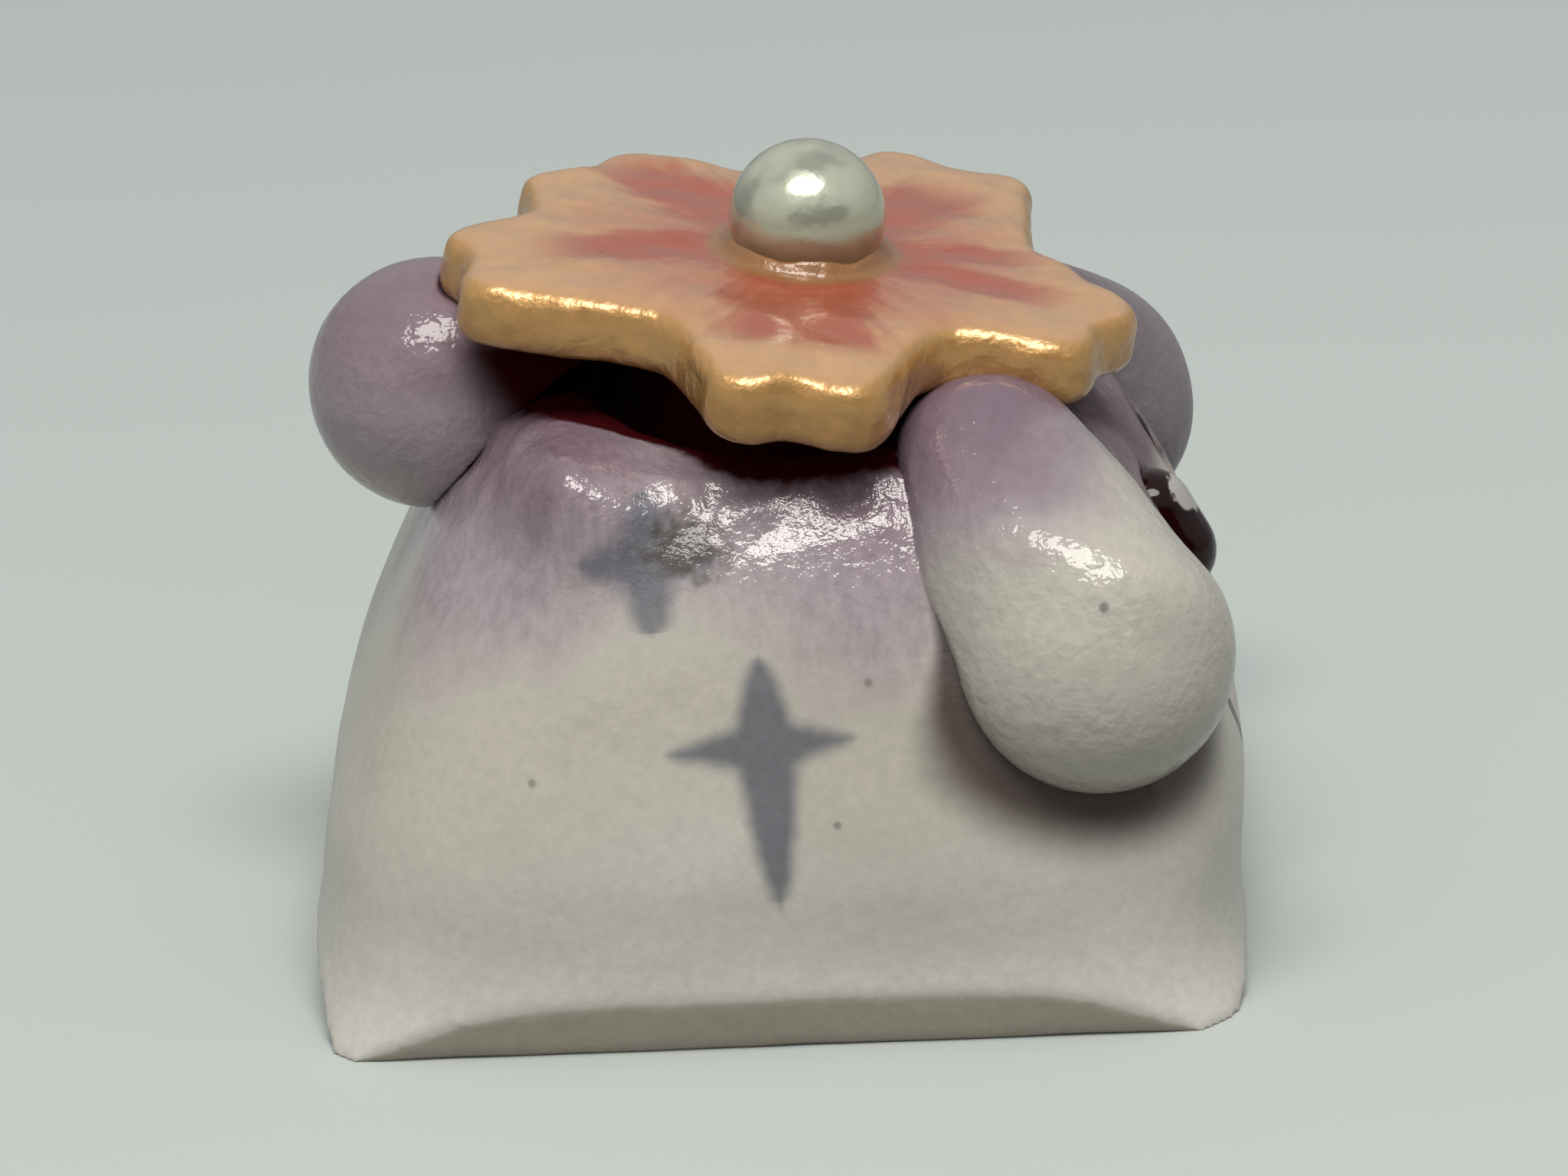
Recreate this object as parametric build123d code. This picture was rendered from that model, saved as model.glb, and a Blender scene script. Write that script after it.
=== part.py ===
from build123d import *
import math
import os

# Artisan keycap, one key unit wide: a hollow dome with a cross-shaped stem socket below,
# a pair of drooping ears and a back lobe pressed onto the dome, a five-petal flower laid over
# their roots with a bead set in its middle, and two bead eyes pressed into the face.
# Millimetres, +Z up. The face looks along -Y, so the creature's right ear is on the -X side.
# The origin is on the stem socket's axis, in the plane of the rim.

# Dome
base_width = 18.6            # across the flats where the wall is widest
dome_height = 11.8           # rim to crown
face_lean = 0.09             # share of its reach that each wall loses from rim to crown
back_lean = 0.32
side_lean = 0.22
crown_power = 3.0            # a higher power gives a flatter crown and a tighter shoulder
rim_squareness = 5.3         # superellipse power of the section at the rim
crown_squareness = 2.6       # and at the crown
bevel_height = 1.7           # each side is pared flat and inwards below this height
bevel_depth = 0.55           # how far that brings the side in at the rim

# Underside
hollow_width = 14.2          # between the inner walls, at the mouth
hollow_corner = 3.4
hollow_depth = 4.8
hollow_draft = 1.0           # degrees
stem_diameter = 5.5
stem_recess = 0.3            # the stem's end stands this far inside the rim
socket_length = 4.1          # tip to tip of each arm of the cross
socket_arm_x = 1.3           # width of the arm that runs along X
socket_arm_y = 1.17          # width of the arm that runs along Y
socket_depth = 4.0

# Flower
flower_forward = 0.85        # the flower's axis stands this far towards the face
flower_aside = 0.55          # and this far towards the right side
flower_face_tilt = 7.0       # degrees, its top turned towards the face
flower_side_tilt = 3.0       # degrees, its top turned towards the right side
flower_turn = 2.0            # degrees, about its own axis
flower_thickness = 1.35
flower_edge = 0.4            # rounding of its upper edge
flower_under = 0.25          # chamfer of its lower edge
flower_press = 0.2           # how far it is pressed into the crown
petal_reach = [5.95, 6.0, 6.7, 6.0, 6.4]     # axis to each petal's notch, from the right side round
petal_swing = [-3, -8, 8, 6, -9]             # degrees each hand-set petal is off its even place
valley_reach = [4.5, 4.1, 4.7, 4.5, 5.3]     # axis to the valley before each petal
notch_depth = 0.75           # from the petal's two tips down to its notch
tip_spread = 12.0            # degrees from a petal's notch to each of its tips
valley_round = 1.1
tip_round = 0.85
notch_round = 0.8

# Bead in the flower, and the collar that holds it
pearl_diameter = 3.0
pearl_rise = 0.65            # bead's centre above the flower's top
collar_diameter = 3.5
collar_height = 0.5
collar_slope = 0.2           # how much narrower the collar is at its top, per side

# Lobes: each is two balls joined by a cone, set on the dome's wall
right_ear_bearing = 52.5     # degrees, from the face towards the side
left_ear_bearing = 49.5
ear_neck_radius = 1.5
ear_neck_drop = 1.7          # from the crown down to the ball's centre
ear_neck_sink = 0.2          # how far inside the dome's wall the ball's centre lies
ear_tip_radius = 2.6
right_ear_tip_drop = 4.9
left_ear_tip_drop = 4.4      # the left ear is set a little higher
ear_tip_sink = 0.1
back_root_radius = 1.9
back_root_sink = 1.0
back_tip_radius = 2.4
back_tip_stand = 1.6         # how far outside the dome's wall the tip's centre lies
back_drop = 1.4

# Eyes: each is an egg of two balls, pressed into the face
eye_bearing = 17.0           # degrees, from the face towards the side
eye_drop = 4.25              # from the crown down to the egg's middle
eye_radius = 0.88
eye_top_radius = 0.8
eye_run = 0.76               # between the centres of the two balls
right_eye_sink = 0.48        # how far behind the face's surface the balls' centres lie
left_eye_sink = 0.66         # this bead is pressed in deeper

# Sampling of the dome
section_count = 9
section_points = 32
top_angle = 80.0             # degrees of the crown curve where the last section is taken


def unit(degrees):
    return math.cos(math.radians(degrees)), math.sin(math.radians(degrees))


def dome_point(height, bearing, inset=0.0):
    """Point of the dome's wall at a height; bearing 0 is the face, 90 the left side."""
    level = height / dome_height
    shrink = (1 - level**crown_power) ** (1 / crown_power)
    face, back, side = (
        base_width / 2 * (1 - lean * level) * shrink for lean in (face_lean, back_lean, side_lean)
    )
    middle = (back - face) / 2
    length = (back + face) / 2
    power = rim_squareness + (crown_squareness - rim_squareness) * level
    ahead, aside = unit(bearing)
    reach = (abs(ahead / length) ** power + abs(aside / side) ** power) ** (-1 / power)
    reach -= inset
    return Vector(reach * aside, middle - reach * ahead, height)


def dome_section(height):
    bearings = [360 * i / section_points for i in range(section_points)]
    outline = Spline(*[dome_point(height, bearing) for bearing in bearings], periodic=True)
    return Face(Wire([outline]))


def dome():
    """The dome's outer form: level sections lofted from the rim up, each side pared in at its foot."""
    angles = [top_angle * i / section_count for i in range(section_count + 1)]
    shares = [math.sin(math.radians(angle)) ** (2 / crown_power) for angle in angles]
    block = loft([dome_section(dome_height * share) for share in shares])
    for bearing in (0, 90, 180, 270):
        block -= rim_wedge(bearing)
    return block


def rim_wedge(bearing):
    """The clay pared from one side, outside a plane that leans out from the rim."""
    edge = dome_point(bevel_height, bearing)
    ahead, aside = unit(bearing)
    outward = Vector(aside, -ahead, 0) * bevel_height + Vector(0, 0, -bevel_depth)
    cutter = Box(
        2 * base_width, 2 * base_width, base_width, align=(Align.CENTER, Align.CENTER, Align.MIN)
    )
    return Plane(edge, x_dir=(ahead, aside, 0), z_dir=outward) * cutter


def underside():
    """The hollow below the dome, less the stem that stands in it."""
    mouth = RectangleRounded(hollow_width, hollow_width, hollow_corner)
    hollow = extrude(mouth, hollow_depth, taper=hollow_draft)
    stem = Cylinder(stem_diameter / 2, hollow_depth, align=(Align.CENTER, Align.CENTER, Align.MIN))
    hollow -= Pos(0, 0, stem_recess) * stem
    cross = Rectangle(socket_length, socket_arm_x) + Rectangle(socket_arm_y, socket_length)
    return hollow + extrude(cross, stem_recess + socket_depth)


def flower_plane():
    """The flower's underside: x towards the face, y towards the left side, z up through the petals."""
    place = (-flower_aside, -flower_forward, dome_height - flower_press)
    up = Vector(
        -math.tan(math.radians(flower_side_tilt)), -math.tan(math.radians(flower_face_tilt)), 1
    )
    return Plane(origin=place, x_dir=(0, -1, 0), z_dir=up)


def petal_outline():
    corners = []
    radii = []
    petals = zip(petal_reach, petal_swing, valley_reach)
    for k, (reach, swing, valley) in enumerate(petals):
        axis = flower_turn - 90 + 72 * k
        marks = [
            (valley, axis - 36, valley_round),
            (reach + notch_depth, axis + swing - tip_spread, tip_round),
            (reach, axis + swing, notch_round),
            (reach + notch_depth, axis + swing + tip_spread, tip_round),
        ]
        for distance, bearing, rounding in marks:
            along, across = unit(bearing)
            corners.append((distance * along, distance * across))
            radii.append(rounding)
    return make_face(FilletPolyline(*corners, radius=radii, close=True))


def flower_blank():
    petals = extrude(petal_outline(), flower_thickness)
    rims = petals.faces().sort_by(Axis.Z)
    petals = fillet(rims[-1].edges(), flower_edge)
    petals = chamfer(petals.faces().sort_by(Axis.Z)[0].edges(), flower_under)
    collar = Cone(
        collar_diameter / 2,
        collar_diameter / 2 - collar_slope,
        collar_height,
        align=(Align.CENTER, Align.CENTER, Align.MIN),
    )
    return petals + Pos(0, 0, flower_thickness) * collar


def flower_room():
    """The room over the flower's outline, cleared from the clay that it is pressed into."""
    return extrude(petal_outline(), flower_thickness + 2 * back_tip_radius)


def pearl_ball():
    return Pos(0, 0, flower_thickness + pearl_rise) * Sphere(pearl_diameter / 2)


def drop(thick, thin):
    """Two balls joined by the cone that is tangent to both."""
    (start, start_radius), (end, end_radius) = thick, thin
    run = end - start
    lean = math.asin((start_radius - end_radius) / run.length)
    cosine, sine = math.cos(lean), math.sin(lean)
    half = (math.pi / 2 - lean) / 2
    first = (start_radius * cosine, start_radius * sine)
    last = (end_radius * cosine, run.length + end_radius * sine)
    low = math.pi / 4 - lean / 2
    high = lean + half
    profile = Wire(
        [
            ThreePointArc(
                (0, -start_radius),
                (start_radius * math.cos(low), -start_radius * math.sin(low)),
                first,
            ),
            Line(first, last),
            ThreePointArc(
                last,
                (end_radius * math.cos(high), run.length + end_radius * math.sin(high)),
                (0, run.length + end_radius),
            ),
            Line((0, run.length + end_radius), (0, -start_radius)),
        ]
    )
    solid = revolve(Plane.XZ * Face(profile), Axis.Z)
    return Plane(origin=start, z_dir=run) * solid


def ear_blank(bearing, tip_drop):
    """One ear, from its neck at the flower's edge down the dome's front corner."""
    neck = (dome_point(dome_height - ear_neck_drop, bearing, ear_neck_sink), ear_neck_radius)
    tip = (dome_point(dome_height - tip_drop, bearing, ear_tip_sink), ear_tip_radius)
    return drop(tip, neck)


def back_lobe_blank():
    root = (dome_point(dome_height - back_drop, 180, back_root_sink), back_root_radius)
    tip = (dome_point(dome_height - back_drop, 180, -back_tip_stand), back_tip_radius)
    return drop(tip, root)


def eye_bead(bearing, sink):
    """An egg-shaped bead, its length along the slope of the face."""
    middle = dome_height - eye_drop
    lower = (dome_point(middle - eye_run / 2, bearing, sink), eye_radius)
    upper = (dome_point(middle + eye_run / 2, bearing, sink), eye_top_radius)
    return drop(lower, upper)


plane = flower_plane()
pearl = plane * pearl_ball()
flower = plane * flower_blank() - pearl
room = plane * flower_room()

outer = dome()
right_eye = eye_bead(-eye_bearing, right_eye_sink)
left_eye = eye_bead(eye_bearing, left_eye_sink)
nodes = {
    "body": outer - right_eye - left_eye - room - underside(),
    "right_ear": ear_blank(-right_ear_bearing, right_ear_tip_drop) - outer - room,
    "left_ear": ear_blank(left_ear_bearing, left_ear_tip_drop) - outer - room,
    "back_lobe": back_lobe_blank() - outer - room,
    "flower": flower,
    "pearl": pearl,
    "right_eye": right_eye,
    "left_eye": left_eye,
}

os.makedirs("parts", exist_ok=True)
for name, shape in nodes.items():
    export_step(shape, f"parts/{name}.step")
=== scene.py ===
import bpy
import math
from mathutils import Matrix, Vector, noise
from mathutils.bvhtree import BVHTree


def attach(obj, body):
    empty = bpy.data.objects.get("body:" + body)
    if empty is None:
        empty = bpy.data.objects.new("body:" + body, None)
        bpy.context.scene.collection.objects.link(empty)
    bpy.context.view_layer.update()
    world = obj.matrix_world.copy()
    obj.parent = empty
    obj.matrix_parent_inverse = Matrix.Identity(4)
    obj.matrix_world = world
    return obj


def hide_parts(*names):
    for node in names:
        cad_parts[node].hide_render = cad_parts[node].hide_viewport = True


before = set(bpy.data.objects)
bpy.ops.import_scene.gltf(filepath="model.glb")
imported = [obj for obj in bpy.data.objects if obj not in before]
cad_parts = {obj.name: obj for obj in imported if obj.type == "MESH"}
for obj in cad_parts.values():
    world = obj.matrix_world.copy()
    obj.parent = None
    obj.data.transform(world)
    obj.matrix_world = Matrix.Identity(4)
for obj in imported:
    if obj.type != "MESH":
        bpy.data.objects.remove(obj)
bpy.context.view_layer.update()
print("stage: frame loaded")

mm = 0.001
metre = 1000                 # in millimetres
weld = 0.0005                # mm, points closer than this are one
scene = bpy.context.scene

# settings that many nodes share
blend = {"out": 2, "data_type": "RGBA"}
smooth = {"interpolation_type": "SMOOTHSTEP"}
noiseSpan = (0.25, 0.75)     # most of a noise falls between these


def linear(hexCode):
    # sRGB hex to linear
    parts = [int(hexCode[i:i + 2], 16) / 255 for i in (1, 3, 5)]
    return [c / 12.92 if c <= 0.04045 else ((c + 0.055) / 1.055) ** 2.4 for c in parts] + [1.0]


def addNode(tree, kind, links, out=0, **settings):
    # links: socket -> a plain value or another node's output; a pair of sockets takes a pair of values
    node = tree.nodes.new("ShaderNode" + kind)
    for name, value in settings.items():
        setattr(node, name, value)
    for sockets, values in links.items():
        if not isinstance(sockets, tuple):
            sockets, values = (sockets,), (values,)
        for socket, value in zip(sockets, values):
            if isinstance(value, bpy.types.NodeSocket):
                tree.links.new(value, node.inputs[socket])
            else:
                node.inputs[socket].default_value = value
    return node.outputs[out]


def newMaterial(name):
    # an empty material with its shader, and the surface point in millimetres
    material = bpy.data.materials.new(name)
    material.use_nodes = True
    tree = material.node_tree
    tree.nodes.clear()
    shader = tree.nodes.new("ShaderNodeBsdfPrincipled")
    output = tree.nodes.new("ShaderNodeOutputMaterial")
    tree.links.new(shader.outputs[0], output.inputs["Surface"])
    spot = addNode(tree, "TexCoord", {}, out="Object")
    point = addNode(tree, "Mapping", {"Vector": spot, "Scale": (metre, metre, metre)})
    return material, tree, shader, point


def pickOnly(piece):
    bpy.ops.object.select_all(action="DESELECT")
    piece.select_set(True)
    bpy.context.view_layer.objects.active = piece


def softTexture(name, size):
    cloud = bpy.data.textures.new(name, "CLOUDS")
    cloud.noise_scale = size
    cloud.noise_depth = 2
    cloud.noise_basis = "ORIGINAL_PERLIN"
    return cloud


def ease(low, high, value):
    # 0 below low, 1 above high, smooth between
    share = min(1.0, max(0.0, (value - low) / (high - low)))
    return share * share * (3 - 2 * share)


def sculpt(piece, move):
    # a finger pass over the skin: move(point, normal) gives each point's new place, in mm
    normals = [vertex.normal.copy() for vertex in piece.data.vertices]
    for vertex, normal in zip(piece.data.vertices, normals):
        vertex.co = move(vertex.co.copy(), normal)


def handMade(nodeName, pieceName, clay):
    # a copy of the solid with a fine even skin, worked in millimetres, then softened and dented
    piece = bpy.data.objects.new(pieceName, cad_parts[nodeName].data.copy())
    scene.collection.objects.link(piece)
    piece.data.name = pieceName
    piece.data.materials.clear()
    pickOnly(piece)
    piece.scale = (metre, metre, metre)
    bpy.ops.object.transform_apply(location=False, rotation=False, scale=True)
    bpy.ops.object.mode_set(mode="EDIT")
    bpy.ops.mesh.select_all(action="SELECT")
    bpy.ops.mesh.remove_doubles(threshold=weld)
    bpy.ops.object.mode_set(mode="OBJECT")
    skin = piece.modifiers.new("skin", "REMESH")
    skin.mode = "VOXEL"
    skin.voxel_size = clay["voxel"]
    skin.use_smooth_shade = True
    soften = piece.modifiers.new("soften", "SMOOTH")
    soften.factor = 0.5
    soften.iterations = clay["soften"]
    for size, depth in clay["dents"]:
        dent = piece.modifiers.new("dent", "DISPLACE")
        dent.texture = softTexture(pieceName + "Dents", size)
        dent.texture_coords = "LOCAL"
        dent.strength = depth
        dent.mid_level = 0.5
    for modifier in list(piece.modifiers):
        bpy.ops.object.modifier_apply(modifier=modifier.name)
    return piece


def putBack(piece, material):
    # back to metres, smooth, with its finish
    pickOnly(piece)
    piece.scale = (mm, mm, mm)
    bpy.ops.object.transform_apply(location=False, rotation=False, scale=True)
    bpy.ops.object.shade_smooth()
    piece.data.materials.append(material)
    print("stage:", piece.name, len(piece.data.polygons), "faces")


# Camera: the photograph's viewing angle, long lens. Places in mm, roll in degrees.
cameraView = {
    "place": (-128.6, -2.04, 51.77),
    "aim": (0.0, -0.35, 5.97),
    "lens": 162.7,
    "sensor": 36,
    "roll": -2.45,
    "clip": (5, 10000),
}


def setCamera(view):
    place = Vector(view["place"]) * mm
    turn = (Vector(view["aim"]) * mm - place).to_track_quat("-Z", "Y")
    roll = Matrix.Rotation(math.radians(view["roll"]), 3, "Z")
    bpy.ops.object.camera_add(location=place)
    camera = bpy.context.object
    camera.rotation_euler = (turn.to_matrix() @ roll).to_euler()
    camera.data.lens = view["lens"]
    camera.data.sensor_width = view["sensor"]
    camera.data.clip_start, camera.data.clip_end = (distance * mm for distance in view["clip"])
    scene.camera = camera


setCamera(cameraView)

# Lights: one soft lamp high over the camera, a wide dim one beside it, and a dim room. Places and sizes in mm.
lampAim = (0, 0, 7)
lamps = {
    "key": {
        "place": (-109, -4, 252), "size": (190, 105), "watts": 0.55, "colour": "#fffaf3", "glint": True,
    },
    "fill": {
        "place": (-390, -60, 110), "size": (620, 420), "watts": 0.2, "colour": "#f4f6ff", "glint": False,
    },
}
# one side of the room, low behind the camera, is dim: the bead mirrors it below its glint
softRoom = {
    "top": "#f2f4f6", "low": "#bcbab4", "rise": (-0.3, 0.7), "strength": 0.5,
    "dim": "#2e2e2d", "dimWay": (-0.8, -0.32, 0.26), "dimSquash": (0.8, 0.62, 2.2), "dimEdge": (0.62, 0.36),
}


def setLamps():
    for name, lamp in lamps.items():
        place = Vector(lamp["place"]) * mm
        bpy.ops.object.light_add(type="AREA", location=place)
        light = bpy.context.object
        light.name = name
        light.rotation_euler = (Vector(lampAim) * mm - place).to_track_quat("-Z", "Y").to_euler()
        light.data.shape = "ELLIPSE"
        light.data.size, light.data.size_y = (side * mm for side in lamp["size"])
        light.data.energy = lamp["watts"]
        light.data.color = linear(lamp["colour"])[:3]
        light.visible_glossy = lamp["glint"]


def setRoom(room):
    world = bpy.data.worlds.new("softRoom")
    scene.world = world
    world.use_nodes = True
    tree = world.node_tree
    tree.nodes.clear()
    way = addNode(tree, "TexCoord", {}, out="Generated")
    height = addNode(tree, "SeparateXYZ", {0: way}, out="Z")
    rise = addNode(tree, "MapRange", {0: height, (1, 2): room["rise"]}, **smooth)
    tone = addNode(tree, "Mix", {0: rise, 6: linear(room["low"]), 7: linear(room["top"])}, **blend)
    off = addNode(tree, "VectorMath", {0: way, 1: room["dimWay"]}, operation="SUBTRACT")
    off = addNode(tree, "VectorMath", {0: off, 1: room["dimSquash"]}, operation="MULTIPLY")
    off = addNode(tree, "VectorMath", {0: off}, out="Value", operation="LENGTH")
    dim = addNode(tree, "MapRange", {0: off, (1, 2): room["dimEdge"]}, **smooth)
    tone = addNode(tree, "Mix", {0: dim, 6: tone, 7: linear(room["dim"])}, **blend)
    glow = addNode(tree, "Background", {0: tone, 1: room["strength"]})
    output = tree.nodes.new("ShaderNodeOutputWorld")
    tree.links.new(glow, output.inputs[0])


setLamps()
setRoom(softRoom)
print("stage: camera and lights")

# Floor: it looks pale, but throws little light back up at the piece. Sizes in mm.
floorLook = {
    "size": 3000, "pale": "#c0c8c5", "bounce": "#848684", "mirrored": 0.6, "grain": 50, "tone": (0.98, 1.02),
}


def setFloor(look):
    # Painted board, rolled matt: even and pale, with no glint
    bpy.ops.object.select_all(action="DESELECT")
    bpy.ops.mesh.primitive_plane_add(size=look["size"] * mm, location=(0, 0, 0))
    floor = bpy.context.object
    floor.name = "floor"
    material, tree, shader, point = newMaterial("mattPaintedBoard")
    ray = addNode(tree, "LightPath", {}).node.outputs
    seen = addNode(
        tree, "Math", {0: ray["Is Glossy Ray"], 1: look["mirrored"], 2: ray["Is Camera Ray"]},
        operation="MULTIPLY_ADD",
    )
    colour = addNode(tree, "Mix", {0: seen, 6: linear(look["bounce"]), 7: linear(look["pale"])}, **blend)
    grain = addNode(tree, "TexNoise", {"Vector": point, "Scale": 1 / look["grain"], "Detail": 2.0})
    tone = addNode(tree, "MapRange", {0: grain, (3, 4): look["tone"]})
    colour = addNode(tree, "HueSaturation", {"Value": tone, "Color": colour})
    tree.links.new(colour, shader.inputs["Base Color"])
    shader.inputs["Roughness"].default_value = 0.9
    shader.inputs["Specular IOR Level"].default_value = 0.1
    floor.data.materials.append(material)


setFloor(floorLook)

# Ears and the back lobe: drops of the same clay pressed onto the dome. Sizes, heights and places in mm.
earClay = {
    "rightEar": {
        "node": "right_ear", "voxel": 0.085, "soften": 4, "dents": [(2.4, 0.05)],
        "tip": (-6.85, -5.84, 6.9), "neck": (-4.66, -4.23, 10.1), "leaf": True, "forward": 0.22, "coat": 0.9,
        "cream": "#bdb9ae", "lavender": "#a0969a", "plum": "#7a6673",
        "fade": (8.6, 10.2), "plumFade": (9.4, 11.2), "lean": 0.35, "gapShade": None, "specks": [(-6.2, 8.45)],
    },
    "leftEar": {
        "node": "left_ear", "voxel": 0.085, "soften": 4, "dents": [(2.6, 0.05)],
        "tip": (6.39, -6.07, 7.4), "neck": (4.5, -4.5, 10.1), "leaf": True, "forward": -0.05, "coat": 0.4,
        # the far ear's colours are darker than the near ear's: painted shade
        "cream": "#837a80", "lavender": "#7a6d75", "plum": "#725f6b",
        "fade": (7.4, 9.6), "plumFade": (9.2, 11.0), "lean": 0.35, "gapShade": None, "specks": [],
    },
    "backLobe": {
        "node": "back_lobe", "voxel": 0.08, "soften": 4, "dents": [(2.2, 0.06)],
        "tip": (0, 6.15, 10.4), "neck": (0, 3.55, 10.4), "leaf": False, "coat": 0.9,
        "cream": "#b4aaaa", "lavender": "#9a8d93", "plum": "#806d78",
        "fade": (8.4, 10.4), "plumFade": (10.4, 12.2), "lean": 0.0, "specks": [],
        "gapShade": {"edge": (5.5, 4.2), "slant": 0.45, "ragged": 0.8, "under": (12.0, 11.5)},
    },
}


# Body: the dome, cream clay with lavender chalk brushed over its top. Sizes, heights and places in mm.
bodyClay = {
    "voxel": 0.14, "soften": 3, "dents": [(3.2, 0.12), (1.3, 0.03)],
    "seat": (-0.55, -0.85),      # the flower's axis at the crown
    # round the seat, this share of what stands above a height is pressed away
    "crown": {"above": 10.05, "share": 0.68, "edge": (2.2, 3.2)},
    # each back corner of the shoulder swells: its middle and half width along y and z, and the way out and up
    "hump": {"rise": 1.05, "y": (3.6, 1.35), "z": (9.8, 0.95), "way": (0.84, 0.54), "inner": (0.3, 1.5)},
    # a trough round the seat, out of sight below the petals
    "trough": {"depth": 0.6, "above": 9, "inner": (2.3, 2.9), "outer": (4.3, 3.7)},
    "lump": {"size": 0.85, "height": 0.11, "fade": (8.6, 9.6)},      # along the shoulder
    # the rim of the left eye's deeper socket is rubbed round
    "socket": {"middle": (2.22, -7.89, 7.55), "reach": 1.7, "passes": 8},
    # the paler low colour is painted light: it evens out the shade that falls low down
    "cream": "#bebaae", "paintedLightLow": "#cfcdc4", "lavender": "#a4979d", "plum": "#846f7b",
    "paintedLightLowFade": (6.0, 1.5), "fade": (6.3, 8.9), "plumFade": (8.6, 10.6),
    "patch": 2.4, "grain": 0.22,    # sizes of the brushed patches and of the chalk's mottling
    "tone": (0.93, 1.07),
    # the chalk's edge strays along a wave in y, by patches and by grain
    "stray": {"wave": (0.72, -1.4), "height": -0.75, "patch": 2.6, "grain": 0.8, "middle": 1.7},
    # streaks 0.25 mm wide and about 1.1 mm long, up and down
    "brush": {"perMm": (4.0, 4.0, 0.9), "span": (0.32, 0.68), "tone": (0.84, 1.12)},
    # painted shade on the brow between the ears
    "brow": {
        "colour": "#766a70", "front": (-4.6, -5.8), "height": (7.6, 8.6), "left": (0.6, 2.4), "lower": 1.1,
        "share": 0.75,
    },
    "starColour": "#5d616c", "starEdge": 0.35,      # size of the ragged bits along painted edges
    "smudge": {
        "colour": "#4e4841", "place": (-6.0, 1.35, 9.05), "squash": (0.3, 1.0, 1.3), "ragged": 1.3,
        "edge": (0.95, 0.35), "share": 0.85, "dull": 0.55,
    },
    "speck": {"colour": "#6d675f", "edge": (0.11, 0.03), "share": 0.6},
    "dust": {"spacing": 1.2, "rare": 0.8, "edge": (0.085, 0.045), "share": 1.0},
    # the mouth's height at x is low + bow * x**2 + curl * x**4
    "mouth": {
        "colour": "#45191d", "low": 2.65, "bow": 0.055, "curl": 0.0048, "climb": (2.0, 4.2),
        "half": (0.17, 0.38), "edge": (1.2, 0.75), "ends": (4.5, 4.1), "front": (-7.6, -8.0),
    },
    # painted shadow round the ears: from this far off each ear's axis, less towards its neck
    "earShadow": {
        "colour": "#443833", "start": 2.55, "taper": 1.1, "below": (0.4, -1.8), "width": (0.36, 1.6),
        "edge": (1.0, 0.2), "share": 0.95,
    },
    "pared": {"colour": "#c1b9a8", "facing": (-0.08, -0.24)},    # painted shade where the foot faces down
    # painted shade round the seat, in the gap under the flower: it reaches further below the near petal, and
    # between the lobe and the humps
    "gapShade": {
        "colour": "#380b0f", "edge": (4.55, 4.15), "ragged": 0.4, "height": (8.6, 9.0),
        "near": (1.7, 0.4), "nearReach": 0.7, "inner": (4.5, 3.5), "behind": (0.8, 1.8), "innerReach": 1.2,
    },
    "varnish": {
        "gloss": 0.3, "coat": (0.45, 0.9), "coatRise": (5.5, 8.0),
        "ripple": 0.27, "depth": 0.041,     # size and depth of its wrinkles
        "wrinkled": (7.6, 9.0), "calm": 0.25,
    },
}
# four-point stars on the right side, as soft as chalk: middle, arm lengths and half widths in mm
stars = [
    {"y": 0.0, "z": 5.75, "ahead": 1.6, "behind": 1.8, "up": 1.5, "down": 2.8, "tall": 0.58, "wide": 0.44,
     "sharp": (0.5, 0.75), "soft": 0.2, "strength": 0.86},
    {"y": 2.05, "z": 8.9, "ahead": 1.25, "behind": 1.25, "up": 1.1, "down": 1.2, "tall": 0.5, "wide": 0.48,
     "sharp": (0.25, 0.35), "soft": 0.24, "strength": 0.8},
]
starStroke = {"lean": 0.055, "beyond": 2.0, "merge": 0.3, "wobble": 0.12}
# single specks of dust on the right side: y and z in mm
specks = [(-1.91, 6.77), (-1.25, 4.34), (-1.0, 9.3), (4.3, 5.2)]
rightSide = (-2.5, -3.5)     # the right side's own marks come in between these x


def shapeBody(point, normal):
    clay = bodyClay
    reach = math.hypot(point.x - clay["seat"][0], point.y - clay["seat"][1])
    crown, hump, trough, lump = (clay[name] for name in ("crown", "hump", "trough", "lump"))
    if point.z > crown["above"]:
        point.z -= (point.z - crown["above"]) * crown["share"] * ease(*crown["edge"], reach)
    (middleY, halfY), (middleZ, halfZ) = hump["y"], hump["z"]
    swell = hump["rise"] * math.exp(-((point.y - middleY) / halfY) ** 2 - ((point.z - middleZ) / halfZ) ** 2)
    swell *= ease(*hump["inner"], abs(point.x))
    aside, up = hump["way"]
    point += Vector((math.copysign(aside, point.x), 0.0, up)) * swell
    if point.z > trough["above"]:
        point.z -= trough["depth"] * ease(*trough["inner"], reach) * ease(*trough["outer"], reach)
    amount = lump["height"] * ease(*lump["fade"], point.z)
    return point + normal * amount * noise.noise(point / lump["size"])


def rubSocket(piece, socket):
    pickOnly(piece)
    middle = Vector(socket["middle"])
    bpy.ops.object.mode_set(mode="EDIT")
    bpy.ops.mesh.select_all(action="DESELECT")
    bpy.ops.object.mode_set(mode="OBJECT")
    for vertex in piece.data.vertices:
        vertex.select = (vertex.co - middle).length < socket["reach"]
    bpy.ops.object.mode_set(mode="EDIT")
    bpy.ops.mesh.vertices_smooth(factor=0.5, repeat=socket["passes"])
    bpy.ops.object.mode_set(mode="OBJECT")


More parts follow.
